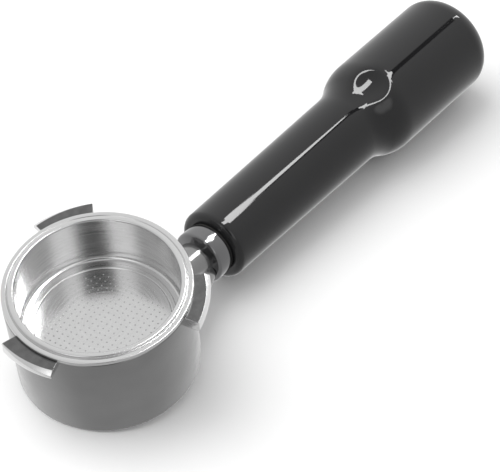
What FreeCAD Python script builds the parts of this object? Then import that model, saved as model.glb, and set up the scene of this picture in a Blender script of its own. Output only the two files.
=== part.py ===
import FreeCAD, Part
import math
import os
import re
import Sketcher

# A 54 mm class bottomless portafilter. Millimetres, +Z up. The origin is on the cup's axis in
# the plane of its bottom edge, and +X points along the handle, which slopes gently down.

SIZES = {
    # gaps: round a thread or a pressed joint, round a sliding part, and past a cut's end
    "thread_gap": 0.05,
    "slide_gap": 0.1,
    "overcut": 1.0,
    # holder ring
    "holder_height": 36.0,
    "holder_top_radius": 31.3,
    "holder_base_radius": 30.5,
    "holder_edge_round": 0.5,
    "holder_bore_radius": 28.4,
    "holder_bore_lead": 0.6,
    "outlet_radius": 27.6,
    "outlet_height": 12.0,
    "outlet_cone": 1.0,
    "flush_reach": 3.5,
    # wire ring that holds the basket, and its groove
    "wire_radius": 0.6,
    "wire_ring_radius": 28.75,
    "wire_height": 29.0,
    "wire_gap_angle": 14.0,
    "wire_groove_half": 0.75,
    "wire_groove_depth": 1.1,
    # bayonet lugs: thick at the leading end, thin and more bevelled at the trailing end
    "lug_first_angle": 59.0,
    "lug_width_angle": 33.0,
    "lug_root_radius": 30.0,
    "lug_outer_radius": 36.4,
    "lug_top_height": 35.95,
    "lug_thick": 4.2,
    "lug_thin": 2.6,
    "lug_bevel_start": 0.2,
    "lug_bevel_end": 1.7,
    "lug_bevel_slope": 0.7,
    # handle axis: crosses the cup's axis at this height and slopes down by this angle
    "handle_height": 9.3,
    "handle_slope": 7.5,
    # neck and the web at its root; stations are distances along the handle axis
    "neck_root": 20.0,
    "neck_radius": 6.4,
    "neck_end": 47.3,
    "spigot_radius": 5.4,
    "spigot_length": 3.0,
    "web_drop": 2.0,
    "web_half_height": 4.6,
    "web_half_width_root": 21.0,
    "web_half_width_end": 8.4,
    "web_root": 21.0,
    "web_waist": 0.18,
    # chromed collar (ferrule)
    "collar_radius": 9.8,
    "collar_length": 7.0,
    "collar_front_rise": 0.9,
    "collar_front_round": 1.1,
    "collar_lip": 0.3,
    "collar_back_bevel": 0.35,
    "collar_floor": 1.9,
    # fasteners inside the handle
    "stud_radius": 4.0,
    "stud_start": 36.0,
    "stud_length": 46.0,
    "stud_chamfer": 0.8,
    "stud_hole_spare": 1.5,
    "stud_root_thread": 2.4,
    "stud_relief": 0.5,
    "spring_washer_radius": 7.1,
    "spring_washer_thickness": 1.9,
    "spring_washer_slot": 0.8,
    "spring_washer_lean": 1.2,
    "fibre_washer_radius": 9.4,
    "fibre_washer_thickness": 0.8,
    "insert_start": 58.0,
    "insert_length": 24.0,
    "insert_radius": 6.0,
    "insert_groove_depth": 0.5,
    "insert_groove_half": 0.7,
    # grip
    "grip_front_radius": 12.9,
    "grip_front_round": 2.3,
    "grip_neck_radius": 13.7,
    "grip_neck_end": 130.0,
    "grip_bulge_start": 147.0,
    "grip_bulge_radius": 18.2,
    "grip_bulge_end": 188.1,
    "grip_dome_length": 11.2,
    "grip_end_round": 8.0,
    "grip_well_depth": 32.0,
    "grip_well_gap": 0.3,
    "dimple_station": 135.85,
    "dimple_clocking": 11.0,
    "dimple_sphere_radius": 16.0,
    "dimple_centre_height": 29.68,
    # filter basket
    "sheet_thickness": 0.7,
    "basket_bore_radius": 27.1,
    "basket_floor": 18.3,
    "basket_ring_rise": 0.35,
    "basket_ring_ramp": 0.3,
    "basket_ring_inner": 22.5,
    "basket_ring_outer": 24.2,
    "basket_rim_radius": 31.25,
    "basket_rim_under": 36.1,
    "basket_rim_top": 37.4,
    "basket_bead_top": 38.1,
    "basket_bead_width": 1.6,
    "basket_mouth_lead": 0.35,
    "basket_mouth_depth": 0.6,
    "basket_groove_radius": 29.1,
    "basket_groove_depth": 0.35,
    "basket_groove_ramp": 0.5,
    "basket_knuckle_round": 1.5,
    "skin_ramp_shift": 0.2,
    # perforation: a square lattice cut off by a circle
    "hole_radius": 0.28,
    "hole_pitch": 2.09,
    "hole_field_radius": 20.45,
    "hole_lattice_angle": 6.0,
    "hole_lattice_shift": 0.67,
}

doc = FreeCAD.newDocument("portafilter")
sheet = doc.addObject("Spreadsheet::Sheet", "sizes")
for row, (alias, value) in enumerate(SIZES.items(), start=1):
    sheet.set(f"A{row}", alias)
    sheet.set(f"B{row}", str(value))
    sheet.setAlias(f"B{row}", alias)
doc.recompute()


def bound(text):
    """Turn the plain words of a formula into references to the sheet."""
    return re.sub(r"[a-z][a-z_]+", lambda word: "sizes." + word.group(), text)


def size(text):
    """Value of a formula of the sheet's words."""
    return float(sheet.evalExpression(bound(text)))


def origin_feature(body, role):
    return next(item for item in body.Origin.OriginFeatures if item.Role == role)


def new_body(label):
    body = doc.addObject("PartDesign::Body", label)
    body.Label = label
    return body


def handle_body(label):
    """A body whose Z axis is the handle axis, so that its heights are handle stations."""
    body = new_body(label)
    tilt = FreeCAD.Rotation(FreeCAD.Vector(0, 1, 0), 90 + size("handle_slope"))
    body.Placement = FreeCAD.Placement(FreeCAD.Vector(0, 0, size("handle_height")), tilt)
    body.setExpression("Placement.Base.z", bound("handle_height"))
    return body


def new_sketch(body, name, role):
    sketch = body.newObject("Sketcher::SketchObject", name)
    sketch.AttachmentSupport = [(origin_feature(body, role), "")]
    sketch.MapMode = "FlatFace"
    return sketch


def pin(sketch, kind, geometry, point, formula):
    """Hold one coordinate of a sketch point at a formula of the sheet's words."""
    value = size(formula)
    if abs(value) < 1e-9:
        axis = -2 if kind == "DistanceX" else -1
        sketch.addConstraint(Sketcher.Constraint("PointOnObject", geometry, point, axis))
        return
    index = sketch.addConstraint(Sketcher.Constraint(kind, -1, 1, geometry, point, value))
    sketch.setExpression(f"Constraints[{index}]", bound(formula))


def outline(sketch, corners):
    """Closed outline of straight lines through the corners; each corner is a pair of formulas."""
    points = [FreeCAD.Vector(size(x), size(y), 0) for x, y in corners]
    for start, end in zip(points, points[1:] + points[:1]):
        sketch.addGeometry(Part.LineSegment(start, end), False)
    for i, (x, y) in enumerate(corners):
        following = (i + 1) % len(corners)
        sketch.addConstraint(Sketcher.Constraint("Coincident", i, 2, following, 1))
        pin(sketch, "DistanceX", i, 1, x)
        pin(sketch, "DistanceY", i, 1, y)
    return sketch


def circle(sketch, formula):
    """A circle about the sketch's origin."""
    sketch.addGeometry(Part.Circle(FreeCAD.Vector(), FreeCAD.Vector(0, 0, 1), size(formula)), False)
    sketch.addConstraint(Sketcher.Constraint("Coincident", 0, 3, -1, 1))
    index = sketch.addConstraint(Sketcher.Constraint("Radius", 0, size(formula)))
    sketch.setExpression(f"Constraints[{index}]", bound(formula))
    return sketch


def size_axes(sketch, curve, half_width, half_height):
    """Level an ellipse of the sketch and set its axes, which are wider than they are high."""
    first = sketch.GeometryCount
    sketch.exposeInternalGeometry(curve)
    sketch.addConstraint(Sketcher.Constraint("Horizontal", first))
    for axis, formula in ((first, half_width), (first + 1, half_height)):
        index = sketch.addConstraint(Sketcher.Constraint("Distance", axis, 2 * size(formula)))
        sketch.setExpression(f"Constraints[{index}]", "2 * (" + bound(formula) + ")")


def ellipse(sketch, half_width, half_height):
    """An ellipse about the sketch's origin."""
    across = FreeCAD.Vector(size(half_width), 0, 0)
    upward = FreeCAD.Vector(0, size(half_height), 0)
    sketch.addGeometry(Part.Ellipse(across, upward, FreeCAD.Vector()), False)
    sketch.addConstraint(Sketcher.Constraint("Coincident", 0, 3, -1, 1))
    size_axes(sketch, 0, half_width, half_height)
    return sketch


def grip_outline(sketch, front):
    """Half section of the grip: taper, S-shaped shoulder, barrel and an end cap of two arcs."""
    rise = size("grip_bulge_radius - grip_neck_radius")
    run = size("grip_bulge_start - grip_neck_end")
    turn = (run ** 2 + rise ** 2) / (4 * rise)
    sweep = math.asin(0.5 * run / turn)
    corner = size("grip_end_round")
    reach = size("grip_bulge_radius - grip_end_round")
    dome = size("grip_dome_length")
    cap = (reach ** 2 + dome ** 2 - corner ** 2) / (2 * (dome - corner))
    lean = math.atan2(cap - dome, reach)

    foot = FreeCAD.Vector(0, size(front), 0)
    lip = FreeCAD.Vector(size("grip_front_radius"), size(front), 0)
    waist = FreeCAD.Vector(size("grip_neck_radius"), size("grip_neck_end"), 0)
    barrel = FreeCAD.Vector(size("grip_bulge_radius"), size("grip_bulge_start"), 0)
    equator = FreeCAD.Vector(size("grip_bulge_radius"), size("grip_bulge_end"), 0)
    crown = FreeCAD.Vector(0, equator.y + dome, 0)

    def arc(x, y, radius, start, end):
        ring = Part.Circle(FreeCAD.Vector(x, y, 0), FreeCAD.Vector(0, 0, 1), radius)
        return Part.ArcOfCircle(ring, start, end)

    sketch.addGeometry([
        Part.LineSegment(foot, lip),
        Part.LineSegment(lip, waist),
        arc(waist.x + turn, waist.y, turn, math.pi - sweep, math.pi),
        arc(barrel.x - turn, barrel.y, turn, -sweep, 0),
        Part.LineSegment(barrel, equator),
        arc(reach, equator.y, corner, 0, lean),
        arc(0, crown.y - cap, cap, lean, math.pi / 2),
        Part.LineSegment(crown, foot),
    ], False)
    joins = (
        ("Coincident", 0, 2, 1, 1),
        ("Coincident", 1, 2, 2, 2),
        ("Tangent", 2, 1, 3, 1),
        ("Coincident", 3, 2, 4, 1),
        ("Coincident", 4, 2, 5, 1),
        ("Tangent", 5, 2, 6, 1),
        ("Coincident", 6, 2, 7, 1),
        ("Coincident", 7, 2, 0, 1),
    )
    for join in joins:
        sketch.addConstraint(Sketcher.Constraint(*join))
    pins = (
        ("DistanceX", 0, 1, "0"),
        ("DistanceY", 0, 1, front),
        ("DistanceX", 1, 1, "grip_front_radius"),
        ("DistanceY", 1, 1, front),
        ("DistanceX", 1, 2, "grip_neck_radius"),
        ("DistanceY", 1, 2, "grip_neck_end"),
        ("DistanceY", 2, 3, "grip_neck_end"),
        ("DistanceY", 2, 1, "(grip_neck_end + grip_bulge_start) / 2"),
        ("DistanceY", 3, 3, "grip_bulge_start"),
        ("DistanceX", 4, 1, "grip_bulge_radius"),
        ("DistanceY", 4, 1, "grip_bulge_start"),
        ("DistanceX", 4, 2, "grip_bulge_radius"),
        ("DistanceY", 4, 2, "grip_bulge_end"),
        ("DistanceX", 5, 3, "grip_bulge_radius - grip_end_round"),
        ("DistanceY", 5, 3, "grip_bulge_end"),
        ("DistanceX", 6, 3, "0"),
        ("DistanceX", 6, 2, "0"),
        ("DistanceY", 6, 2, "grip_bulge_end + grip_dome_length"),
    )
    for entry in pins:
        pin(sketch, *entry)
    return sketch


def revolve(body, name, sketch, kind="Revolution", axis="V_Axis", angle=360.0):
    feature = body.newObject("PartDesign::" + kind, name)
    feature.Profile = sketch
    feature.ReferenceAxis = (sketch, [axis])
    feature.Angle = angle
    return feature


def round_edges(body, name, base, edges, formula):
    """Fillet the named edges of a feature."""
    fillet = body.newObject("PartDesign::Fillet", name)
    fillet.Refine = False
    fillet.Base = (base, edges)
    fillet.Radius = size(formula)
    fillet.setExpression("Radius", bound(formula))
    return fillet


def bevel_edges(body, name, base, edges, formula):
    chamfer = body.newObject("PartDesign::Chamfer", name)
    chamfer.Base = (base, edges)
    chamfer.Size = size(formula)
    chamfer.setExpression("Size", bound(formula))
    return chamfer


def rings(feature, *places):
    """Names of a feature's circular edges about Z at the given (radius, height) formulas."""
    doc.recompute()
    wanted = [(size(radius), size(height)) for radius, height in places]
    names = []
    for number, edge in enumerate(feature.Shape.Edges, start=1):
        if edge.Degenerated or not isinstance(edge.Curve, Part.Circle):
            continue
        centre = edge.Curve.Center
        for radius, height in wanted:
            if abs(edge.Curve.Radius - radius) < 1e-3 and abs(centre.z - height) < 1e-3:
                names.append(f"Edge{number}")
    return names


# ---- holder: ring, neck, web and three bayonet lugs in one casting ----

def build_holder():
    body = new_body("holder_body")
    cup = outline(new_sketch(body, "cup_profile", "XZ_Plane"), [
        ("0", "0"),
        ("holder_base_radius", "0"),
        ("holder_top_radius", "holder_height"),
        ("0", "holder_height"),
    ])
    solid = revolve(body, "cup", cup)
    edges = rings(solid, ("holder_base_radius", "0"), ("holder_top_radius", "holder_height"))
    round_edges(body, "cup_edges", solid, edges, "holder_edge_round")

    neck = new_sketch(body, "neck_profile", "XZ_Plane")
    tilt = FreeCAD.Rotation(FreeCAD.Vector(0, 0, 1), -size("handle_slope"))
    neck.AttachmentOffset = FreeCAD.Placement(FreeCAD.Vector(0, size("handle_height"), 0), tilt)
    neck.setExpression("AttachmentOffset.Base.y", bound("handle_height"))
    outline(neck, [
        ("neck_root", "0"),
        ("neck_root", "neck_radius"),
        ("neck_end", "neck_radius"),
        ("neck_end", "spigot_radius"),
        ("neck_end + spigot_length", "spigot_radius"),
        ("neck_end + spigot_length", "0"),
    ])
    revolve(body, "neck", neck, axis="H_Axis")
    build_web(body)
    build_lugs(body)

    bore = outline(new_sketch(body, "bore_profile", "XZ_Plane"), [
        ("0", "-overcut"),
        ("outlet_radius", "-overcut"),
        ("outlet_radius", "outlet_height"),
        ("holder_bore_radius", "outlet_height + outlet_cone"),
        ("holder_bore_radius", "wire_height - wire_groove_half"),
        ("holder_bore_radius + wire_groove_depth", "wire_height - wire_groove_half"),
        ("holder_bore_radius + wire_groove_depth", "wire_height + wire_groove_half"),
        ("holder_bore_radius", "wire_height + wire_groove_half"),
        ("holder_bore_radius", "holder_height - holder_bore_lead"),
        ("holder_bore_radius + holder_bore_lead", "holder_height"),
        ("holder_bore_radius + holder_bore_lead", "holder_height + overcut"),
        ("0", "holder_height + overcut"),
    ])
    revolve(body, "bore", bore, kind="Groove")

    # the web and the neck are machined flush with the ring's bottom edge
    disc = circle(new_sketch(body, "flush_disc", "XY_Plane"), "holder_top_radius + flush_reach")
    flush = body.newObject("PartDesign::Pocket", "flush_cut")
    flush.Profile = disc
    flush.Length = size("neck_radius")

    # tapped hole for the handle stud
    tapped = new_sketch(body, "stud_hole_profile", "XZ_Plane")
    tapped.AttachmentOffset = neck.AttachmentOffset
    tapped.setExpression("AttachmentOffset.Base.y", bound("handle_height"))
    outline(tapped, [
        ("stud_start - stud_hole_spare", "0"),
        ("stud_start - stud_hole_spare", "stud_radius + thread_gap"),
        ("neck_end + spigot_length + overcut", "stud_radius + thread_gap"),
        ("neck_end + spigot_length + overcut", "0"),
    ])
    revolve(body, "stud_hole", tapped, kind="Groove", axis="H_Axis")
    return body


def build_web(body):
    """Flattened root that spreads from the neck into the ring, lofted through ellipses."""
    slope = math.radians(size("handle_slope"))
    sections = []
    for number in range(4):
        share = number / 3
        station = size("web_root") + share * (size("neck_end") - size("web_root"))
        sketch = new_sketch(body, f"web_section_{number + 1}", "YZ_Plane")
        drop = size("web_drop") * share
        sketch.AttachmentOffset = FreeCAD.Placement(
            FreeCAD.Vector(
                0,
                size("handle_height") - station * math.sin(slope) - drop * math.cos(slope),
                station * math.cos(slope) - drop * math.sin(slope),
            ),
            FreeCAD.Rotation(FreeCAD.Vector(1, 0, 0), size("handle_slope")),
        )
        spread = f"(1 - {share:.4f}) * (1 - {share:.4f} * web_waist)"
        width = f"web_half_width_end + (web_half_width_root - web_half_width_end) * {spread}"
        sections.append(ellipse(sketch, width, "web_half_height"))
    web = body.newObject("PartDesign::AdditiveLoft", "web")
    web.Profile = sections[0]
    web.Sections = sections[1:]
    return web


def build_lugs(body):
    """One lug lofted round the ring through five sections, then repeated three times."""
    sections = []
    for number in range(5):
        share = number / 4
        sketch = new_sketch(body, f"lug_section_{number + 1}", "XZ_Plane")
        angle = size(f"lug_first_angle + lug_width_angle * ({share} - 0.5)")
        turn = FreeCAD.Rotation(FreeCAD.Vector(0, 1, 0), angle)
        sketch.AttachmentOffset = FreeCAD.Placement(FreeCAD.Vector(), turn)
        bevel = f"(lug_bevel_start + (lug_bevel_end - lug_bevel_start) * {share})"
        under = f"lug_top_height - lug_thick + (lug_thick - lug_thin) * {share}"
        sections.append(outline(sketch, [
            ("lug_root_radius", "lug_top_height"),
            (f"lug_outer_radius - {bevel}", "lug_top_height"),
            ("lug_outer_radius", f"lug_top_height - lug_bevel_slope * {bevel}"),
            ("lug_outer_radius", under),
            ("lug_root_radius", under),
        ]))
    lug = body.newObject("PartDesign::AdditiveLoft", "lug")
    lug.Profile = sections[0]
    lug.Sections = sections[1:]
    doc.recompute()
    pattern = body.newObject("PartDesign::PolarPattern", "lugs")
    pattern.Originals = [lug]
    pattern.Axis = (origin_feature(body, "Z_Axis"), [""])
    pattern.Angle = 360
    pattern.Occurrences = 3
    body.Tip = pattern
    return pattern


# ---- filter basket: pressed sheet with a beaded rim, and drilled floor ----

def build_basket():
    body = new_body("basket_pressing")
    ring_top = "basket_floor + basket_ring_rise"
    under = "basket_floor - sheet_thickness"
    mouth = "basket_bore_radius + basket_mouth_lead"
    skin = "basket_bore_radius + sheet_thickness"
    profile = outline(new_sketch(body, "pressing_profile", "XZ_Plane"), [
        ("0", "basket_floor"),
        ("basket_ring_inner", "basket_floor"),
        ("basket_ring_inner + basket_ring_ramp", ring_top),
        ("basket_ring_outer", ring_top),
        ("basket_ring_outer + basket_ring_ramp", "basket_floor"),
        ("basket_bore_radius", "basket_floor"),
        ("basket_bore_radius", "basket_bead_top - basket_mouth_depth"),
        (mouth, "basket_bead_top"),
        (f"{mouth} + basket_bead_width", "basket_bead_top"),
        ("basket_groove_radius", "basket_rim_top - basket_groove_depth"),
        ("basket_groove_radius + basket_groove_ramp", "basket_rim_top"),
        ("basket_rim_radius", "basket_rim_top"),
        ("basket_rim_radius", "basket_rim_under"),
        (skin, "basket_rim_under"),
        (skin, under),
        ("basket_ring_outer + basket_ring_ramp + skin_ramp_shift", under),
        ("basket_ring_outer + skin_ramp_shift", f"{ring_top} - sheet_thickness"),
        ("basket_ring_inner + basket_ring_ramp + skin_ramp_shift", f"{ring_top} - sheet_thickness"),
        ("basket_ring_inner + skin_ramp_shift", under),
        ("0", under),
    ])
    solid = revolve(body, "pressing", profile)
    rounds = (
        ("knuckle", "basket_knuckle_round", (("basket_bore_radius", "basket_floor"),)),
        ("heel", "basket_knuckle_round + sheet_thickness", ((skin, under),)),
        ("bead", "0.5 * sheet_thickness", (
            (f"{mouth} + basket_bead_width", "basket_bead_top"),
            (mouth, "basket_bead_top"),
        )),
        ("rim", "0.5 * sheet_thickness", (
            ("basket_rim_radius", "basket_rim_top"),
            ("basket_rim_radius", "basket_rim_under"),
        )),
    )
    for name, radius, places in rounds:
        solid = round_edges(body, name, solid, rings(solid, *places), radius)

    drills = doc.addObject("Part::Feature", "floor_drills")
    drills.Shape = drill_field()
    basket = doc.addObject("Part::Cut", "filter_basket")
    basket.Base = body
    basket.Tool = drills
    basket.Label = "filter_basket"
    return basket


def drill_field():
    """Drills through the floor on a square lattice, kept where they fall inside a circle."""
    pitch = size("hole_pitch")
    field = size("hole_field_radius")
    angle = math.radians(size("hole_lattice_angle"))
    reach = int(field / pitch) + 2
    drills = []
    for column in range(-reach, reach + 1):
        for line in range(-reach, reach + 1):
            along = column * pitch
            across = line * pitch + size("hole_lattice_shift")
            if math.hypot(along, across) > field:
                continue
            foot = FreeCAD.Vector(
                along * math.cos(angle) - across * math.sin(angle),
                along * math.sin(angle) + across * math.cos(angle),
                size("basket_floor - 2 * sheet_thickness"),
            )
            drills.append(Part.makeCylinder(size("hole_radius"), size("3 * sheet_thickness"), foot))
    return Part.makeCompound(drills)


# ---- wire ring in the holder's groove ----

def build_wire_ring():
    body = new_body("basket_spring")
    section = new_sketch(body, "wire_section", "XZ_Plane")
    centre = FreeCAD.Vector(size("wire_ring_radius"), size("wire_height"), 0)
    section.addGeometry(Part.Circle(centre, FreeCAD.Vector(0, 0, 1), size("wire_radius")), False)
    pin(section, "DistanceX", 0, 3, "wire_ring_radius")
    pin(section, "DistanceY", 0, 3, "wire_height")
    index = section.addConstraint(Sketcher.Constraint("Radius", 0, size("wire_radius")))
    section.setExpression(f"Constraints[{index}]", bound("wire_radius"))
    ring = revolve(body, "wire", section)
    ring.setExpression("Angle", bound("360 - wire_gap_angle"))
    turn = FreeCAD.Rotation(FreeCAD.Vector(0, 0, 1), 180 + 0.5 * size("wire_gap_angle"))
    body.Placement = FreeCAD.Placement(FreeCAD.Vector(), turn)
    return body


# ---- collar, washers, stud and insert, all on the handle axis ----

def build_collar():
    body = handle_body("neck_collar")
    profile = outline(new_sketch(body, "collar_profile", "XZ_Plane"), [
        ("spigot_radius + thread_gap", "neck_end"),
        ("neck_radius + collar_lip", "neck_end"),
        ("collar_radius", "neck_end + collar_front_rise"),
        ("collar_radius", "neck_end + collar_length"),
        ("spring_washer_radius + slide_gap", "neck_end + collar_length"),
        ("spring_washer_radius + slide_gap", "neck_end + collar_length - collar_floor"),
        ("stud_radius + slide_gap", "neck_end + collar_length - collar_floor"),
        ("stud_radius + slide_gap", "neck_end + spigot_length + slide_gap"),
        ("spigot_radius + thread_gap", "neck_end + spigot_length + slide_gap"),
    ])
    solid = revolve(body, "collar", profile)
    front = rings(solid, ("collar_radius", "neck_end + collar_front_rise"))
    rounded = round_edges(body, "collar_front", solid, front, "collar_front_round")
    back = rings(rounded, ("collar_radius", "neck_end + collar_length"))
    bevel_edges(body, "collar_back", rounded, back, "collar_back_bevel")
    return body


def build_fibre_washer():
    body = handle_body("collar_washer")
    start = "neck_end + collar_length"
    profile = outline(new_sketch(body, "washer_profile", "XZ_Plane"), [
        ("stud_radius + slide_gap", start),
        ("fibre_washer_radius", start),
        ("fibre_washer_radius", f"{start} + fibre_washer_thickness"),
        ("stud_radius + slide_gap", f"{start} + fibre_washer_thickness"),
    ])
    revolve(body, "washer", profile)
    return body


def build_spring_washer():
    body = handle_body("spring_washer")
    start = "neck_end + collar_length - spring_washer_thickness"
    profile = outline(new_sketch(body, "coil_profile", "XZ_Plane"), [
        ("stud_radius + slide_gap", start),
        ("spring_washer_radius", start),
        ("spring_washer_radius", f"{start} + spring_washer_thickness"),
        ("stud_radius + slide_gap", f"{start} + spring_washer_thickness"),
    ])
    coil = revolve(body, "coil", profile)
    doc.recompute()
    # the split leans, as on a helical spring washer
    slot = outline(new_sketch(body, "slot_profile", "YZ_Plane"), [
        ("-spring_washer_lean", f"{start} - overcut"),
        ("spring_washer_slot - spring_washer_lean", f"{start} - overcut"),
        ("spring_washer_lean", f"{start} + spring_washer_thickness + overcut"),
        ("spring_washer_lean - spring_washer_slot", f"{start} + spring_washer_thickness + overcut"),
    ])
    split = body.newObject("PartDesign::Pocket", "split")
    split.Profile = slot
    split.Length = size("spring_washer_radius + overcut")
    split.Reversed = True
    doc.recompute()
    if split.Shape.Volume > coil.Shape.Volume - 1:
        raise RuntimeError("the split of the spring washer cuts nothing")
    return body


def build_stud():
    body = handle_body("handle_stud")
    profile = outline(new_sketch(body, "stud_profile", "XZ_Plane"), [
        ("0", "stud_start"),
        ("stud_radius - stud_chamfer", "stud_start"),
        ("stud_radius", "stud_start + stud_chamfer"),
        ("stud_radius", "neck_end + stud_root_thread"),
        ("stud_radius - stud_relief", "neck_end + stud_root_thread + stud_relief"),
        ("stud_radius - stud_relief", "insert_start - slide_gap - stud_relief"),
        ("stud_radius", "insert_start - slide_gap"),
        ("stud_radius", "stud_start + stud_length - stud_chamfer"),
        ("stud_radius - stud_chamfer", "stud_start + stud_length"),
        ("0", "stud_start + stud_length"),
    ])
    revolve(body, "stud", profile)
    return body


def build_insert():
    """Brass sleeve with two grooves that key it into the moulding."""
    body = handle_body("grip_insert")
    corners = [
        ("stud_radius + thread_gap", "insert_start"),
        ("insert_radius", "insert_start"),
    ]
    for share in (0.3, 0.7):
        middle = f"insert_start + {share} * insert_length"
        corners += [
            ("insert_radius", f"{middle} - insert_groove_half - insert_groove_depth"),
            ("insert_radius - insert_groove_depth", f"{middle} - insert_groove_half"),
            ("insert_radius - insert_groove_depth", f"{middle} + insert_groove_half"),
            ("insert_radius", f"{middle} + insert_groove_half + insert_groove_depth"),
        ]
    corners += [
        ("insert_radius", "insert_start + insert_length"),
        ("stud_radius + thread_gap", "insert_start + insert_length"),
    ]
    revolve(body, "sleeve", outline(new_sketch(body, "sleeve_profile", "XZ_Plane"), corners))
    return body


# ---- moulded grip ----

def build_grip():
    body = handle_body("handle_grip")
    front = "neck_end + collar_length + fibre_washer_thickness"
    solid = revolve(body, "grip", grip_outline(new_sketch(body, "grip_profile", "XZ_Plane"), front))
    face_edge = rings(solid, ("grip_front_radius", front))
    round_edges(body, "grip_front", solid, face_edge, "grip_front_round")

    # thumb dimple, turned a little past the top because the grip screws on to a stop
    clock = math.radians(size("dimple_clocking"))
    lift = size("dimple_centre_height")
    dimple = body.newObject("PartDesign::SubtractiveSphere", "dimple")
    dimple.setExpression("Radius", bound("dimple_sphere_radius"))
    dimple.Placement = FreeCAD.Placement(
        FreeCAD.Vector(-lift * math.cos(clock), -lift * math.sin(clock), size("dimple_station")),
        FreeCAD.Rotation(),
    )

    well = outline(new_sketch(body, "well_profile", "XZ_Plane"), [
        ("0", f"{front} - overcut"),
        ("stud_radius + grip_well_gap", f"{front} - overcut"),
        ("stud_radius + grip_well_gap", "insert_start"),
        ("insert_radius", "insert_start"),
        ("insert_radius", "insert_start + insert_length"),
        ("stud_radius + grip_well_gap", "insert_start + insert_length"),
        ("stud_radius + grip_well_gap", f"{front} + grip_well_depth"),
        ("0", f"{front} + grip_well_depth"),
    ])
    revolve(body, "well", well, kind="Groove")
    return body


def check_document():
    doc.recompute()
    for item in doc.Objects:
        if "Invalid" in item.State or "Error" in item.State:
            raise RuntimeError(f"{item.Label} failed: {item.State}")


def write_nodes(nodes):
    os.makedirs("parts", exist_ok=True)
    for node in nodes:
        shape = node.Shape
        if shape.isNull() or not shape.isValid() or not shape.Solids:
            raise RuntimeError(f"{node.Label} has no valid solid")
        shape.exportStep(os.path.join("parts", node.Label + ".step"))
        box = shape.BoundBox
        print(f"{node.Label:16s} solids {len(shape.Solids)} volume {shape.Volume:9.1f}"
              f"  x {box.XMin:7.2f} {box.XMax:7.2f}  y {box.YMin:6.2f} {box.YMax:6.2f}"
              f"  z {box.ZMin:6.2f} {box.ZMax:6.2f}")


nodes = [
    build_holder(),
    build_basket(),
    build_wire_ring(),
    build_collar(),
    build_fibre_washer(),
    build_spring_washer(),
    build_stud(),
    build_insert(),
    build_grip(),
]
check_document()
write_nodes(nodes)
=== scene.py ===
import math

import bpy
import bmesh
from mathutils import Matrix, Vector
from mathutils.geometry import delaunay_2d_cdt


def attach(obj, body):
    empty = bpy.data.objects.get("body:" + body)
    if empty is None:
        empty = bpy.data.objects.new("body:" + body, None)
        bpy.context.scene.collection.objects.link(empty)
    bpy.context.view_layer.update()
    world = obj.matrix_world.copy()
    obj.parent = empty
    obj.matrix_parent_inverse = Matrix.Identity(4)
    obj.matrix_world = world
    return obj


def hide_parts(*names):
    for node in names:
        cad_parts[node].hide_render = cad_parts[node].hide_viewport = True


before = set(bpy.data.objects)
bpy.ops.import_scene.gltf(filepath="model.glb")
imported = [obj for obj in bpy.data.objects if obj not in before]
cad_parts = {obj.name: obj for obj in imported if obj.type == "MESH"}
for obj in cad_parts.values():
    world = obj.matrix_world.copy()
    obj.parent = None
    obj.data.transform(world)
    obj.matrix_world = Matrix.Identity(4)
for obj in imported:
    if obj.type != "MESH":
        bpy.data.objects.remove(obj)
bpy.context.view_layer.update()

MM = 0.001

# ---- sizes, in millimetres: the solid model's, and the rounds and bevels that only show ----
# a hole's pair is its radius and depth, and the grip's pairs are a radius and a station on its axis

HOLDER_HEIGHT = 36.0
HOLDER_TOP_R = 31.3
HOLDER_BASE_R = 30.5
HOLDER_BASE_ROUND = 0.55
HOLDER_BORE_R = 28.4
HOLDER_BORE_LEAD = 0.6
OUTLET_R = 27.6
OUTLET_HEIGHT = 12.0
OUTLET_CONE = 1.0
WIRE_HEIGHT = 29.0
WIRE_GROOVE_HALF = 0.75
WIRE_GROOVE_DEPTH = 1.1
ROOT_R = HOLDER_BASE_R - 0.6
ROOT_WIDEST = ROOT_R - 2.0
HEEL_R = HOLDER_BASE_R - 0.5

LUG_FIRST_ANGLE = 59.0
LUG_WIDTH_ANGLE = 33.0
LUG_R = 36.4
LUG_TOP = 35.95
LUG_THICK, LUG_THIN = 4.2, 2.6
LUG_BEVELS = (0.25, 1.7)
LUG_BEVEL_SLOPE = 0.7
LUG_END_BEVEL = 0.22

HANDLE_HEIGHT = 9.3
HANDLE_SLOPE = math.radians(7.5)
NECK_R = 6.4
NECK_END = 47.3
NECK_SOFTNESS = 0.22
FLUSH_R = HOLDER_TOP_R + 3.5
WEB_WIDTHS = (21.0, 8.4)
WEB_HALF_HEIGHT = 4.6
WEB_ROOT = 21.0
WEB_DROP = 2.0
WEB_WAIST = 0.18
COLLAR_R = 9.8
COLLAR_FRONT_R = 6.75
COLLAR_FRONT_RISE = 0.9
COLLAR_END = NECK_END + 7.0
COLLAR_SEAT = (5.45, 3.1)
COLLAR_WELL = (7.2, 1.9)
STUD_HOLE_R = 4.1
GRIP_START = COLLAR_END + 0.8
GRIP_BORE = (4.3, 30.0)
GRIP_FRONT_R = 12.9
GRIP_FRONT_ROUND = 2.3
GRIP_WAIST = (13.7, 130.0)
GRIP_BARREL = (18.2, 147.0)
GRIP_BARREL_END = 188.1
GRIP_DOME = 11.2
GRIP_END_ROUND = 8.0
DIMPLE_STATION = 135.85
DIMPLE_CLOCK = math.radians(11.0)
DIMPLE_BALL_R = 16.0
DIMPLE_LIFT = 29.68
DIMPLE_SOFTNESS = 0.7

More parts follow.
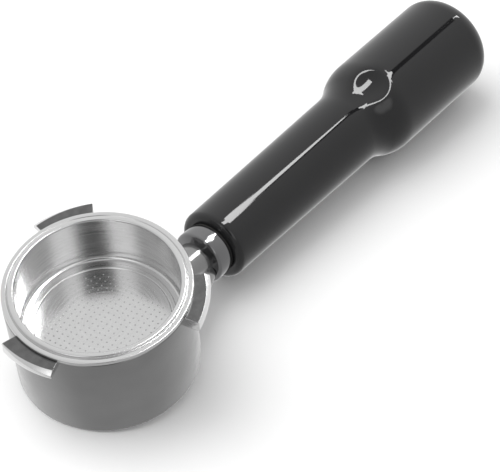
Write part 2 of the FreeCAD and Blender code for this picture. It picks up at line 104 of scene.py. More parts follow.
BASKET_BORE_R = 27.1
SHEET = 0.7
FLOOR_Z = 18.3
FLOOR_RING = (22.5, 24.5)
FLOOR_RING_RISE = 0.35
FLOOR_RING_RAMP = 0.3
UNDERSIDE_SHIFT = 0.2
KNUCKLE_ROUNDS = (1.5, 2.2)
BEAD_TOP = 38.1
BEAD_R = BASKET_BORE_R + 1.95
FLANGE_R = 31.25
FLANGE_TOP = 37.4
FLANGE_UNDER = 36.1
RIM_GROOVE = (BASKET_BORE_R + 2.1, BASKET_BORE_R + 2.6)
RIM_GROOVE_DEPTH = 0.4
HOLE_R = 0.28
HOLE_PITCH = 2.09
HOLE_FIELD_R = 20.45
HOLE_TURN = math.radians(6.0)
HOLE_SHIFT = 0.67
HOLE_SIDES = 14

ROUND_STEPS = 192

# local Z runs along the handle, local X points up from it
HANDLE_FRAME = Matrix.Translation((0, 0, HANDLE_HEIGHT * MM)) @ Matrix((
    (math.sin(HANDLE_SLOPE), 0, math.cos(HANDLE_SLOPE), 0),
    (0, -1, 0, 0),
    (math.cos(HANDLE_SLOPE), 0, -math.sin(HANDLE_SLOPE), 0),
    (0, 0, 0, 1),
))


# ---- mesh helpers ----

def add_object(name, data):
    item = bpy.data.objects.new(name, data)
    bpy.context.scene.collection.objects.link(item)
    return item


def add_piece(name, bm, body, material, place=None, sharp=32):
    """Turn a bmesh in millimetres into a smooth-shaded piece that rides on a body."""
    bmesh.ops.scale(bm, vec=(MM, MM, MM), verts=bm.verts)
    bmesh.ops.recalc_face_normals(bm, faces=bm.faces)
    mesh = bpy.data.meshes.new(name)
    bm.to_mesh(mesh)
    bm.free()
    mesh.shade_smooth()
    mesh.set_sharp_from_angle(angle=math.radians(sharp))
    mesh.materials.append(material)
    piece = add_object(name, mesh)
    if place is not None:
        piece.matrix_world = place
    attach(piece, body)
    return piece


def rounded(corners, steps=6):
    """Outline through (r, z, radius) corners, each with a positive radius turned into an arc."""
    points = []
    count = len(corners)
    for i, (r, z, radius) in enumerate(corners):
        here = Vector((r, z))
        back = Vector(corners[i - 1][:2]) - here
        ahead = Vector(corners[(i + 1) % count][:2]) - here
        if radius <= 0:
            points.append(here)
            continue
        half = back.angle(ahead) / 2
        reach = min(radius / math.tan(half), 0.48 * back.length, 0.48 * ahead.length)
        radius = reach * math.tan(half)
        centre = here + (back.normalized() + ahead.normalized()).normalized() * (radius / math.sin(half))
        first = here + back.normalized() * reach - centre
        last = here + ahead.normalized() * reach - centre
        turn = first.angle_signed(last)
        for k in range(steps + 1):
            spoke = first.copy()
            spoke.rotate(Matrix.Rotation(-turn * k / steps, 2))
            points.append(centre + spoke)
    return points


def full_turn(steps, offset=0.0):
    """Evenly spaced angles all round, the first one offset by a share of a step."""
    return [2 * math.pi * (k + offset) / steps for k in range(steps)]


def lathe(points, closed=True):
    """Turn an outline of (r, z) points about Z. A point on the axis becomes a single vertex."""
    bm = bmesh.new()
    rings = []
    for r, z in points:
        if r < 1e-6:
            rings.append([bm.verts.new((0, 0, z))])
            continue
        rings.append([bm.verts.new((r * math.cos(a), r * math.sin(a), z)) for a in full_turn(ROUND_STEPS)])
    pairs = list(zip(rings, rings[1:]))
    if closed:
        pairs.append((rings[-1], rings[0]))
    for low, high in pairs:
        for k in range(ROUND_STEPS):
            j = (k + 1) % ROUND_STEPS
            corners = [low[k % len(low)], low[j % len(low)], high[j % len(high)], high[k % len(high)]]
            bm.faces.new(list(dict.fromkeys(corners)))
    return bm


def skin(bm, sections):
    """Faces between closed sections of equal count; returns the two end faces."""
    for low, high in zip(sections, sections[1:]):
        for j in range(len(low)):
            i = (j + 1) % len(low)
            bm.faces.new((low[j], low[i], high[i], high[j]))
    return [bm.faces.new(sections[0]), bm.faces.new(sections[-1])]


def arc(centre, radius, first, last, steps):
    """Points of an arc between two angles, both ends included."""
    turns = [first + (last - first) * k / steps for k in range(steps + 1)]
    return [(centre[0] + radius * math.cos(a), centre[1] + radius * math.sin(a)) for a in turns]


def between(first, last, steps):
    """Points that divide a straight run into steps, without its ends."""
    (r, z), (end_r, end_z) = first, last
    return [(r + (end_r - r) * k / steps, z + (end_z - z) * k / steps) for k in range(1, steps)]


# ---- materials ----

def new_material(name, **sockets):
    """Principled material; returns it with its node tree, shader and object coordinates."""
    material = bpy.data.materials.new(name)
    material.use_nodes = True
    tree = material.node_tree
    shader = tree.nodes["Principled BSDF"]
    for socket, value in sockets.items():
        shader.inputs[socket.replace("_", " ")].default_value = value
    coordinates = tree.nodes.new("ShaderNodeTexCoord").outputs["Object"]
    return material, tree, shader, coordinates


def link(tree, source, target):
    tree.links.new(source, target)


def grey(level):
    return (level, level, level)


def noise(tree, vector, scale, detail=3.0, stretch=(1, 1, 1)):
    mapping = tree.nodes.new("ShaderNodeMapping")
    mapping.inputs["Scale"].default_value = stretch
    link(tree, vector, mapping.inputs["Vector"])
    texture = tree.nodes.new("ShaderNodeTexNoise")
    texture.inputs["Scale"].default_value = scale
    texture.inputs["Detail"].default_value = detail
    link(tree, mapping.outputs["Vector"], texture.inputs["Vector"])
    return texture.outputs["Fac"]


def spread(tree, value, low, high):
    """Map a 0.3 to 0.7 noise value on to low to high."""
    node = tree.nodes.new("ShaderNodeMapRange")
    node.inputs["From Min"].default_value = 0.3
    node.inputs["From Max"].default_value = 0.7
    node.inputs["To Min"].default_value = low
    node.inputs["To Max"].default_value = high
    link(tree, value, node.inputs["Value"])
    return node.outputs["Result"]


def blend_colours(tree, factor, first, second):
    node = tree.nodes.new("ShaderNodeMix")
    node.data_type = "RGBA"
    node.inputs["A"].default_value = (*first, 1)
    node.inputs["B"].default_value = (*second, 1)
    link(tree, factor, node.inputs["Factor"])
    return node.outputs["Result"]


def bump(tree, height, shader, distance):
    node = tree.nodes.new("ShaderNodeBump")
    node.inputs["Distance"].default_value = distance
    link(tree, height, node.inputs["Height"])
    link(tree, node.outputs["Normal"], shader.inputs["Normal"])


def polar(tree, coordinates):
    """Coordinates as (turn about Z, distance from Z, height), for lathe and polishing marks."""
    split = tree.nodes.new("ShaderNodeSeparateXYZ")
    link(tree, coordinates, split.inputs["Vector"])
    turn = tree.nodes.new("ShaderNodeMath")
    turn.operation = "ARCTAN2"
    link(tree, split.outputs["Y"], turn.inputs[0])
    link(tree, split.outputs["X"], turn.inputs[1])
    flat = tree.nodes.new("ShaderNodeVectorMath")
    flat.operation = "MULTIPLY"
    flat.inputs[1].default_value = (1, 1, 0)
    link(tree, coordinates, flat.inputs[0])
    length = tree.nodes.new("ShaderNodeVectorMath")
    length.operation = "LENGTH"
    link(tree, flat.outputs["Vector"], length.inputs[0])
    joined = tree.nodes.new("ShaderNodeCombineXYZ")
    link(tree, turn.outputs["Value"], joined.inputs["X"])
    link(tree, length.outputs["Value"], joined.inputs["Y"])
    link(tree, split.outputs["Z"], joined.inputs["Z"])
    return joined.outputs["Vector"]


def cast_chrome():
    """Dark plated casting with a soft polish: cloudy reflections and faint waves."""
    material, tree, shader, place = new_material("cast_chrome", Metallic=1.0)
    clouds = blend_colours(tree, noise(tree, place, 60), grey(0.27), grey(0.37))
    link(tree, clouds, shader.inputs["Base Color"])
    link(tree, spread(tree, noise(tree, place, 240, 5), 0.13, 0.24), shader.inputs["Roughness"])
    bump(tree, noise(tree, place, 130, 4), shader, 0.00005)
    return material


def ground_lugs():
    """Lugs with a mottle on their level tops that is darkened as painted shade, and every other face, the
    bevels and sides, made lighter as a painted highlight.
    """
    material, tree, shader, place = new_material("ground_lugs", Metallic=1.0)
    # painted shade: the tops' mottle is kept darker than the rest of the casting to stand in for shade
    mottle_and_painted_shade = blend_colours(tree, noise(tree, place, 420, 5), grey(0.1), grey(0.22))
    facing = tree.nodes.new("ShaderNodeSeparateXYZ")
    link(tree, tree.nodes.new("ShaderNodeNewGeometry").outputs["True Normal"], facing.inputs["Vector"])
    level = tree.nodes.new("ShaderNodeMapRange")
    level.inputs["From Min"].default_value = 0.93
    level.inputs["From Max"].default_value = 0.99
    link(tree, facing.outputs["Z"], level.inputs["Value"])
    # the second colour, on the level tops, is the mottle darkened as painted shade; the first, on every
    # face that is not level, is a painted highlight
    painted_shade_and_highlight = blend_colours(tree, level.outputs["Result"], grey(0.85), grey(0))
    link(tree, mottle_and_painted_shade, painted_shade_and_highlight.node.inputs["B"])
    link(tree, painted_shade_and_highlight, shader.inputs["Base Color"])
    link(tree, spread(tree, noise(tree, place, 600, 5), 0.14, 0.26), shader.inputs["Roughness"])
    bump(tree, noise(tree, place, 300, 4), shader, 0.00003)
    return material


def bright_chrome():
    """Plated collar with fine turning marks round its axis."""
    material, tree, shader, place = new_material("bright_chrome", Metallic=1.0)
    clouds = blend_colours(tree, noise(tree, place, 90), (0.2, 0.2, 0.203), (0.26, 0.26, 0.264))
    link(tree, clouds, shader.inputs["Base Color"])
    marks = noise(tree, polar(tree, place), 900, 2, (0.02, 1, 1))
    link(tree, spread(tree, marks, 0.05, 0.11), shader.inputs["Roughness"])
    bump(tree, noise(tree, place, 200, 2), shader, 0.00002)
    return material


def pressed_steel():
    """Bright pressed stainless sheet with fine polishing lines that run round it."""
    material, tree, shader, place = new_material("pressed_steel", Metallic=1.0)
    lines = noise(tree, polar(tree, place), 1500, 2, (0.0004, 1, 1))
    link(tree, blend_colours(tree, lines, grey(0.66), grey(0.73)), shader.inputs["Base Color"])
    link(tree, spread(tree, lines, 0.16, 0.24), shader.inputs["Roughness"])
    bump(tree, lines, shader, 0.0000003)
    return material


def moulded_black():
    """Polished black phenolic: deep gloss with faint handling marks."""
    material, tree, shader, place = new_material("moulded_black", Specular_IOR_Level=0.5)
    cloud = blend_colours(tree, noise(tree, place, 40), (0.009, 0.009, 0.0095), (0.014, 0.014, 0.0145))
    link(tree, cloud, shader.inputs["Base Color"])
    link(tree, spread(tree, noise(tree, place, 300, 6), 0.03, 0.07), shader.inputs["Roughness"])
    bump(tree, noise(tree, place, 45, 2), shader, 0.00002)
    return material


def plain_metal(name, dark, light, rough):
    """Bare metal of the pieces inside, with a fine grain."""
    material, tree, shader, place = new_material(name, Metallic=1.0)
    link(tree, blend_colours(tree, noise(tree, place, 500), dark, light), shader.inputs["Base Color"])
    link(tree, spread(tree, noise(tree, place, 900, 4), *rough), shader.inputs["Roughness"])
    bump(tree, noise(tree, place, 1500, 3), shader, 0.00002)
    return material


def fibre():
    """Matt dark fibre of the washer between the collar and the grip."""
    material, tree, shader, place = new_material("fibre", Specular_IOR_Level=0.3)
    fleck = blend_colours(tree, noise(tree, place, 900), (0.012, 0.012, 0.012), (0.03, 0.029, 0.028))
    link(tree, fleck, shader.inputs["Base Color"])
    link(tree, spread(tree, noise(tree, place, 1800, 4), 0.6, 0.85), shader.inputs["Roughness"])
    bump(tree, noise(tree, place, 2500, 4), shader, 0.00005)
    return material


CAST = cast_chrome()
GROUND = ground_lugs()
CHROME = bright_chrome()
STEEL = pressed_steel()
BLACK = moulded_black()
WIRE = plain_metal("spring_wire", (0.42, 0.42, 0.43), (0.58, 0.58, 0.59), (0.2, 0.35))
ZINC = plain_metal("zinc_steel", (0.45, 0.46, 0.48), (0.6, 0.61, 0.63), (0.3, 0.45))
BRASS = plain_metal("turned_brass", (0.6, 0.43, 0.16), (0.76, 0.58, 0.27), (0.18, 0.32))
FIBRE = fibre()

for node, material in (
    ("basket_spring", WIRE),
    ("spring_washer", WIRE),
    ("handle_stud", ZINC),
    ("grip_insert", BRASS),
    ("collar_washer", FIBRE),
):
    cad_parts[node].material_slots[0].material = material


# ---- holder: ring, neck with its web, and three lugs ----

def build_ring():
    """Plain wall with the basket's bore, the wire ring's groove in it and the outlet below."""
    groove_low, groove_high = WIRE_HEIGHT - WIRE_GROOVE_HALF, WIRE_HEIGHT + WIRE_GROOVE_HALF
    groove_r = HOLDER_BORE_R + WIRE_GROOVE_DEPTH
    outline = rounded([
        (OUTLET_R, 0, 0.4),
        (HOLDER_BASE_R, 0, HOLDER_BASE_ROUND),
        (HOLDER_TOP_R, HOLDER_HEIGHT, 0.6),
        (HOLDER_BORE_R + HOLDER_BORE_LEAD, HOLDER_HEIGHT, 0.15),
        (HOLDER_BORE_R, HOLDER_HEIGHT - HOLDER_BORE_LEAD, 0.15),
        (HOLDER_BORE_R, groove_high, 0.1),
        (groove_r, groove_high, 0.2),
        (groove_r, groove_low, 0.2),
        (HOLDER_BORE_R, groove_low, 0.1),
        (HOLDER_BORE_R, OUTLET_HEIGHT + OUTLET_CONE, 0.4),
        (OUTLET_R, OUTLET_HEIGHT, 0.4),
    ])
    ring = add_piece("holder_ring", lathe(outline), "holder", CAST)
    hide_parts("holder_body")


def neck_radius(angle, station):
    """Neck circle blended with the flattened web, as a distance from the handle's axis."""
    share = (station - WEB_ROOT) / (NECK_END - WEB_ROOT)
    root, end = WEB_WIDTHS
    width = end + (root - end) * (1 - share) * (1 - WEB_WAIST * share)
    drop = WEB_DROP * share
    up, side = math.cos(angle), math.sin(angle)
    a = (up / WEB_HALF_HEIGHT) ** 2 + (side / width) ** 2
    b = up * drop / WEB_HALF_HEIGHT ** 2
    c = (drop / WEB_HALF_HEIGHT) ** 2 - 1
    web = (-b + math.sqrt(b * b - a * c)) / a
    return NECK_SOFTNESS * math.log(math.exp(NECK_R / NECK_SOFTNESS) + math.exp(web / NECK_SOFTNESS))


def root_station(angle):
    """Station where a line of the neck starts inside the ring's wall, found by repeated trial."""
    sine, cosine = math.sin(HANDLE_SLOPE), math.cos(HANDLE_SLOPE)
    station = ROOT_R
    for _ in range(8):
        radius = neck_radius(angle, station)
        side = min(abs(radius * math.sin(angle)), ROOT_WIDEST)
        lift = radius * math.cos(angle)
        station = (math.sqrt(ROOT_R ** 2 - side ** 2) - lift * sine) / cosine
    return station


def build_neck():
    """Loft along the handle from inside the ring's wall to the collar, flush with the ring's base."""
    bm = bmesh.new()
    around, along = 160, 56
    sine, cosine = math.sin(HANDLE_SLOPE), math.cos(HANDLE_SLOPE)
    turns = full_turn(around)
    starts = [root_station(angle) for angle in turns]
    rings = []
    for k in range(along + 1):
        ring = []
        for angle, start in zip(turns, starts):
            station = start + (NECK_END - start) * k / along
            radius = neck_radius(angle, station)
            up, side = radius * math.cos(angle), -radius * math.sin(angle)
            x = station * cosine + up * sine
            z = HANDLE_HEIGHT - station * sine + up * cosine
            if math.hypot(x, side) < FLUSH_R:
                z = max(z, 0.0)
            ring.append(bm.verts.new((x, side, z)))
        rings.append(ring)
    skin(bm, rings)
    add_piece("holder_neck", bm, "holder", CAST, sharp=50)


def build_lug(number):
    """Lug that gets thinner and more bevelled from its leading end to its trailing end."""
    bm = bmesh.new()
    steps = 26
    sections = []
    for k in range(steps + 1):
        share = k / steps
        angle = math.radians(LUG_FIRST_ANGLE + 120 * number + LUG_WIDTH_ANGLE * (share - 0.5))
        bevel = LUG_BEVELS[0] + (LUG_BEVELS[1] - LUG_BEVELS[0]) * share
        under = LUG_TOP - LUG_THICK + (LUG_THICK - LUG_THIN) * share
        outline = rounded([
            (ROOT_R, LUG_TOP, 0),
            (LUG_R - bevel, LUG_TOP, 0.12),
            (LUG_R, LUG_TOP - LUG_BEVEL_SLOPE * bevel, 0.12),
            (LUG_R, under, 0.4),
            (ROOT_R, under, 0),
        ], steps=3)
        sections.append([bm.verts.new((r * math.cos(angle), r * math.sin(angle), z)) for r, z in outline])
    ends = skin(bm, sections)
    edges = list({edge for face in ends for edge in face.edges})
    bmesh.ops.bevel(bm, geom=edges, offset=LUG_END_BEVEL, segments=3, profile=0.5, affect="EDGES",
                    clamp_overlap=True)
    add_piece(f"holder_lug_{number + 1}", bm, "holder", GROUND)


# ---- filter basket ----

def hole_centres():
    """Centres of the drillings: a turned square lattice, cut off by a circle."""
    reach = int(HOLE_FIELD_R / HOLE_PITCH) + 2
    centres = []
    for column in range(-reach, reach + 1):
        for line in range(-reach, reach + 1):
            place = Vector((column * HOLE_PITCH, line * HOLE_PITCH + HOLE_SHIFT))
            if place.length <= HOLE_FIELD_R:
                place.rotate(Matrix.Rotation(HOLE_TURN, 2))
                centres.append(place)
    return centres


def perforated_floor(bm, rim_r, top, bottom, bottom_r):
    """Flat floor with drilled holes, triangulated between its edge and the holes' circles."""
    ring = [Vector((math.cos(a), math.sin(a))) * rim_r for a in full_turn(ROUND_STEPS)]
    links = [(k, (k + 1) % ROUND_STEPS) for k in range(ROUND_STEPS)]
    circles = []
    for centre in hole_centres():
        first = len(ring)
        ring += [centre + Vector((math.cos(a), math.sin(a))) * HOLE_R for a in full_turn(HOLE_SIDES, 0.5)]
        links += [(first + k, first + (k + 1) % HOLE_SIDES) for k in range(HOLE_SIDES)]
        circles.append(range(first, first + HOLE_SIDES))
    # type 0 gives triangles everywhere, so those inside the circles are left out below
    flat, _, faces, origin, _, _ = delaunay_2d_cdt(ring, links, [], 0, 1e-7)
    place = {source: index for index, sources in enumerate(origin) for source in sources}
    holes = [{place[k] for k in circle} for circle in circles]
    owner = {index: number for number, hole in enumerate(holes) for index in hole}
    shrink = bottom_r / rim_r
    upper = [bm.verts.new((p.x, p.y, top)) for p in flat]
    lower = [bm.verts.new((p.x * shrink, p.y * shrink, bottom)) if i not in owner
             else bm.verts.new((p.x, p.y, bottom)) for i, p in enumerate(flat)]
    for face in faces:
        owners = {owner.get(i) for i in face}
        if len(owners) == 1 and None not in owners:
            continue
        bm.faces.new([upper[i] for i in face])
        bm.faces.new([lower[i] for i in reversed(face)])
    for circle in circles:
        for k in range(HOLE_SIDES):
            i, j = place[circle[k]], place[circle[(k + 1) % HOLE_SIDES]]
            bm.faces.new((upper[i], upper[j], lower[j], lower[i]))


def build_basket():
    """Pressing: raised ring and straight wall inside, bead, groove and flange, then the outside."""
    inner, outer = FLOOR_RING
    ramp, shift = FLOOR_RING_RAMP, UNDERSIDE_SHIFT
    under, outside = FLOOR_Z - SHEET, BASKET_BORE_R + SHEET
    groove, groove_edge = RIM_GROOVE
    outline = rounded([
        (inner, FLOOR_Z, 0),
        (inner + ramp, FLOOR_Z + FLOOR_RING_RISE, 0.2),
        (outer - ramp, FLOOR_Z + FLOOR_RING_RISE, 0.2),
        (outer, FLOOR_Z, 0.2),
        (BASKET_BORE_R, FLOOR_Z, KNUCKLE_ROUNDS[0]),
        (BASKET_BORE_R, BEAD_TOP, 0.62),
        (BEAD_R, BEAD_TOP, 0.75),
        (groove, FLANGE_TOP - RIM_GROOVE_DEPTH, 0.12),
        (groove_edge, FLANGE_TOP, 0.25),
        (FLANGE_R, FLANGE_TOP, 0.4),
        (FLANGE_R, FLANGE_UNDER, 0.3),
        (outside, FLANGE_UNDER, 0.15),
        (outside, under, KNUCKLE_ROUNDS[1]),
        (outer + shift, under, 0.2),
        (outer - ramp + shift, under + FLOOR_RING_RISE, 0.2),
        (inner + ramp + shift, under + FLOOR_RING_RISE, 0.2),
        (inner + shift, under, 0),
    ], steps=7)
    bm = lathe(outline, closed=False)
    perforated_floor(bm, inner, FLOOR_Z, under, inner + shift)
    bmesh.ops.remove_doubles(bm, verts=bm.verts, dist=0.003)
    basket = add_piece("basket_pressing", bm, "basket", STEEL, sharp=40)
    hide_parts("filter_basket")


# ---- collar and grip, in the handle's frame ----

def build_collar():
    """Ferrule with a domed front edge, a seat for the neck and a well for the spring washer."""
    seat_r, seat_depth = COLLAR_SEAT
    well_r, well_depth = COLLAR_WELL
    outline = rounded([
        (seat_r, NECK_END, 0),
        (COLLAR_FRONT_R, NECK_END, 0.2),
        (COLLAR_R, NECK_END + COLLAR_FRONT_RISE, 1.15),
        (COLLAR_R, COLLAR_END, 0.35),
        (well_r, COLLAR_END, 0),
        (well_r, COLLAR_END - well_depth, 0),
        (STUD_HOLE_R, COLLAR_END - well_depth, 0),
        (STUD_HOLE_R, NECK_END + seat_depth, 0),
        (seat_r, NECK_END + seat_depth, 0),
    ], steps=8)
    collar = add_piece("collar_shell", lathe(outline), "holder", CHROME, HANDLE_FRAME)
    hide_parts("neck_collar")


def grip_outline():
    """Outline from the edge of the bore to the crown, as (r, station) points."""
    waist_r, waist = GRIP_WAIST
    barrel_r, barrel = GRIP_BARREL
    rise, run = barrel_r - waist_r, barrel - waist
    turn = (run ** 2 + rise ** 2) / (4 * rise)
    sweep = math.asin(run / 2 / turn)
    reach = barrel_r - GRIP_END_ROUND
    cap = (reach ** 2 + GRIP_DOME ** 2 - GRIP_END_ROUND ** 2) / (2 * (GRIP_DOME - GRIP_END_ROUND))
    lean = math.atan2(cap - GRIP_DOME, reach)
    nose = rounded([
        (GRIP_BORE[0], GRIP_START, 0),
        (GRIP_FRONT_R, GRIP_START, GRIP_FRONT_ROUND),
        (waist_r, waist, 0),
    ], steps=10)[:-1]
    points = [(p.x, p.y) for p in nose]
    points += between(points[-1], GRIP_WAIST, 40)
    points += arc((waist_r + turn, waist), turn, math.pi, math.pi - sweep, 12)
    points += arc((barrel_r - turn, barrel), turn, -sweep, 0, 12)[1:]
    points += between(GRIP_BARREL, (barrel_r, GRIP_BARREL_END), 24)
    points += arc((reach, GRIP_BARREL_END), GRIP_END_ROUND, 0, lean, 14)
    points += arc((0, GRIP_BARREL_END + GRIP_DOME - cap), cap, lean, math.pi / 2, 13)[1:-1]
    return points + [(0.0, GRIP_BARREL_END + GRIP_DOME)]


def dimple_point(distance):
    """Point over the middle of the thumb dimple, at a distance from the handle's axis."""
    point = Vector((math.cos(DIMPLE_CLOCK), math.sin(DIMPLE_CLOCK), 0)) * distance
    point.z = DIMPLE_STATION
    return point


def press_dimple(bm):
    """Push the surface in to the thumb dimple's ball, with a soft lip at its edge."""
    centre = dimple_point(DIMPLE_LIFT)
    reach = 1.3 * DIMPLE_BALL_R
    for vert in bm.verts:
        away = vert.co - centre
        if away.length > reach:
            continue
        depth = (DIMPLE_BALL_R - away.length) / DIMPLE_SOFTNESS
        push = DIMPLE_SOFTNESS * (math.log1p(math.exp(-abs(depth))) + max(depth, 0))
        vert.co = centre + away.normalized() * (away.length + push)


def refine_dimple(bm):
    """Finer faces where the dimple goes."""
    centre = dimple_point(GRIP_WAIST[0])
    reach = 0.8 * DIMPLE_BALL_R
    near = [edge for edge in bm.edges
            if all((vert.co - centre).length < reach for vert in edge.verts)]
    bmesh.ops.subdivide_edges(bm, edges=near, cuts=3, use_grid_fill=True)


def build_grip():
    """Turned grip with a closed bore for the insert and the thumb dimple pressed in."""
    bm = lathe(grip_outline(), closed=False)
    mouth = [edge for edge in bm.edges if edge.is_boundary]
    bore = bmesh.ops.extrude_edge_only(bm, edges=mouth)
    verts = [item for item in bore["geom"] if isinstance(item, bmesh.types.BMVert)]
    bmesh.ops.translate(bm, verts=verts, vec=(0, 0, GRIP_BORE[1]))
    bmesh.ops.contextual_create(bm, geom=[e for e in bm.edges if e.is_boundary])
    refine_dimple(bm)
    press_dimple(bm)
    grip = add_piece("grip_moulding", bm, "holder", BLACK, HANDLE_FRAME, sharp=60)
    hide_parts("handle_grip")


build_ring()
build_neck()
for lug_number in range(3):
    build_lug(lug_number)
build_basket()
build_collar()
build_grip()


# ---- stage: pale floor, soft lights, camera ----

def emitter(name, radiance):
    material = bpy.data.materials.new(name)
    material.use_nodes = True
    tree = material.node_tree
    tree.nodes.clear()
    glow = tree.nodes.new("ShaderNodeEmission")
    glow.inputs["Strength"].default_value = radiance
    output = tree.nodes.new("ShaderNodeOutputMaterial")
    link(tree, glow.outputs["Emission"], output.inputs["Surface"])
    return material


def card(name, corners, material):
    """Flat stage panel through its corners, seen only in reflections."""
    mesh = bpy.data.meshes.new(name)
    mesh.from_pydata([tuple(corner) for corner in corners], [], [tuple(range(len(corners)))])
    mesh.materials.append(material)
    panel = add_object(name, mesh)
    panel.visible_camera = False
    panel.visible_shadow = False
    panel.visible_diffuse = False


def build_floor():
    """The part lies on the far edge of its ring's bottom and on the grip where its barrel starts."""
    heel = Vector((-HEEL_R, 0)) * MM
    axis = Vector((math.cos(HANDLE_SLOPE), -math.sin(HANDLE_SLOPE)))
    up = Vector((math.sin(HANDLE_SLOPE), math.cos(HANDLE_SLOPE)))
    barrel_r, barrel = GRIP_BARREL
    contact = Vector((0, HANDLE_HEIGHT)) + axis * barrel - up * barrel_r
    span = contact * MM - heel
    fall = -math.atan2(span.y, span.x)
    material, tree, shader, place = new_material("paper", Roughness=0.9, Specular_IOR_Level=0.1)
    clouds = blend_colours(tree, noise(tree, place, 3), grey(0.82), grey(0.86))
    link(tree, clouds, shader.inputs["Base Color"])
    bump(tree, noise(tree, place, 900, 4), shader, 0.00003)
    bm = bmesh.new()
    bmesh.ops.create_grid(bm, x_segments=4, y_segments=4, size=3.0)
    mesh = bpy.data.meshes.new("floor")
    bm.to_mesh(mesh)
    bm.free()
    mesh.materials.append(material)
    floor = add_object("floor", mesh)
    floor.matrix_world = Matrix.Translation((heel.x, 0, 0)) @ Matrix.Rotation(fall, 4, "Y")
    floor.visible_glossy = False


# the camera looks past the rim's centre; its distance and offsets are in metres
CAMERA_AZIMUTH = math.radians(-47.4)
CAMERA_ELEVATION = math.radians(50.4)
CAMERA_ROLL = math.radians(-6.0)
CAMERA_DISTANCE = 0.9639
CAMERA_LENS = 216.0
CAMERA_SENSOR = 36.0
RIM_CENTRE = Vector((0, 0, 0.0373))
AIM_RIGHT, AIM_DOWN = 0.04913, -0.01616

LIGHT_TARGET = Vector((0.05, 0, 0))
PANEL_DISTANCE = 0.5
PANEL_TILT = math.radians(13.5)
PANEL_RADIANCE = 13.0

VIEW = Vector((
    -math.sin(CAMERA_AZIMUTH) * math.cos(CAMERA_ELEVATION),
    math.cos(CAMERA_AZIMUTH) * math.cos(CAMERA_ELEVATION),
    -math.sin(CAMERA_ELEVATION),
))


def build_camera():
    flat_right = Vector((VIEW.y, -VIEW.x, 0)).normalized()
    flat_down = VIEW.cross(flat_right)
    right = flat_right * math.cos(CAMERA_ROLL) - flat_down * math.sin(CAMERA_ROLL)
    down = flat_right * math.sin(CAMERA_ROLL) + flat_down * math.cos(CAMERA_ROLL)
    aim = RIM_CENTRE + right * AIM_RIGHT + down * AIM_DOWN
    place = aim - VIEW * CAMERA_DISTANCE
    data = bpy.data.cameras.new("camera")
    data.lens = CAMERA_LENS
    data.sensor_width = CAMERA_SENSOR
    data.clip_start = 0.01
    data.clip_end = 20
    camera = add_object("camera", data)
    turn = Matrix((right, -down, -VIEW)).transposed().to_4x4()
    camera.matrix_world = Matrix.Translation(place) @ turn
    bpy.context.scene.camera = camera


def area_light(name, towards, distance, size, power):
    """Square soft light that faces the middle of the part and isn't seen in reflections."""
    data = bpy.data.lights.new(name, "AREA")
    data.shape = "SQUARE"
    data.size = size
    data.energy = power
    light = add_object(name, data)
    direction = Vector(towards).normalized()
    light.matrix_world = (Matrix.Translation(LIGHT_TARGET + direction * distance)
                          @ direction.to_track_quat("Z", "Y").to_matrix().to_4x4())
    light.visible_glossy = False


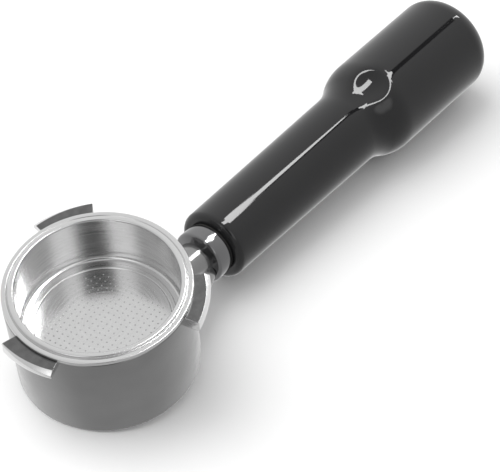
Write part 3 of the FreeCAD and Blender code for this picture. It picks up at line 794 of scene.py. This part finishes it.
def build_studio():
    """World of soft greys, brighter on the far side. Round the camera it is dark, with a soft
    window on each side of the dark patch, and a faint glow comes from below on the left."""
    world = bpy.data.worlds.new("studio")
    bpy.context.scene.world = world
    world.use_nodes = True
    tree = world.node_tree
    back = tree.nodes["Background"]
    direction = tree.nodes.new("ShaderNodeTexCoord").outputs["Generated"]

    def aligned(towards, start, end, low, high):
        """Radiance from low to high as the angle to a direction falls from start to end degrees."""
        dot = tree.nodes.new("ShaderNodeVectorMath")
        dot.operation = "DOT_PRODUCT"
        dot.inputs[1].default_value = Vector(towards).normalized()
        link(tree, direction, dot.inputs[0])
        ramp = tree.nodes.new("ShaderNodeMapRange")
        ramp.interpolation_type = "SMOOTHSTEP"
        ramp.inputs["From Min"].default_value = math.cos(math.radians(start))
        ramp.inputs["From Max"].default_value = math.cos(math.radians(end))
        ramp.inputs["To Min"].default_value = low
        ramp.inputs["To Max"].default_value = high
        link(tree, dot.outputs["Value"], ramp.inputs["Value"])
        return ramp.outputs["Result"]

    def combine(operation, first, second):
        node = tree.nodes.new("ShaderNodeMath")
        node.operation = operation
        link(tree, first, node.inputs[0])
        link(tree, second, node.inputs[1])
        return node.outputs["Value"]

    away = Vector((VIEW.x, VIEW.y, 0)).normalized()
    side = Vector((away.y, -away.x, 0))
    light = aligned(away, 130, 20, 0.5, 0.9)
    light = combine("ADD", light, aligned(-VIEW + side * 0.45, 22, 8, 0.0, 0.8))
    light = combine("ADD", light, aligned(-VIEW - side * 0.45, 22, 8, 0.0, 0.8))
    light = combine("MULTIPLY", light, aligned(-VIEW, 20, 11, 1.0, 0.12))
    below = Vector((0, 0, -0.8)) + away * 0.35
    light = combine("ADD", light, aligned(below - side * 0.75, 50, 10, 0.0, 0.15))
    back.inputs["Color"].default_value = (*grey(1), 1)
    link(tree, light, back.inputs["Strength"])


def build_highlight_panels():
    """Panels above the handle that only reflections see: a tapered strip for the grip's long
    highlight, a second one past the grip's end, and a black flag beside the strip."""
    axis = HANDLE_FRAME.to_3x3() @ Vector((0, 0, 1))
    across = (VIEW - axis * VIEW.dot(axis)).normalized()
    normal = axis.cross(across) * math.sin(PANEL_TILT) - across * math.cos(PANEL_TILT)
    ray = VIEW - normal * 2 * VIEW.dot(normal)
    width_way = ray.cross(axis).normalized()
    origin = HANDLE_FRAME.translation + ray * PANEL_DISTANCE

    def at(station, offset):
        """Point at a station along the handle and an offset across it, in millimetres."""
        return origin + axis * (station * MM) + width_way * (offset * MM)

    def mirrored(half):
        """Corners down one side of the panel's middle line and back up the other."""
        return [at(station, -width) for station, width in half] + [
            at(station, width) for station, width in reversed(half)]

    glow = emitter("panel_glow", PANEL_RADIANCE)
    strip = ((-230, 36), (15, 34), (32, 80), (50, 80), (62, 40), (136, 10))
    card("strip_panel", mirrored(strip), glow)
    card("dome_panel", mirrored(((243, 5), (330, 14), (520, 40))), glow)
    flag = ((57, -60), (136, -45), (242, -45), (242, 25), (137, 25), (137, -9), (57, -35))
    card("strip_flag", [at(*corner) for corner in flag], emitter("flag_black", 0.0))


build_floor()
build_camera()
build_studio()
build_highlight_panels()
area_light("key", towards=(-0.2, 0.8, 1.2), distance=1.8, size=2.2, power=38.0)
area_light("fill", towards=(0.3, -0.7, 1.4), distance=2.0, size=2.4, power=7.0)

bpy.context.scene.view_settings.view_transform = "Standard"
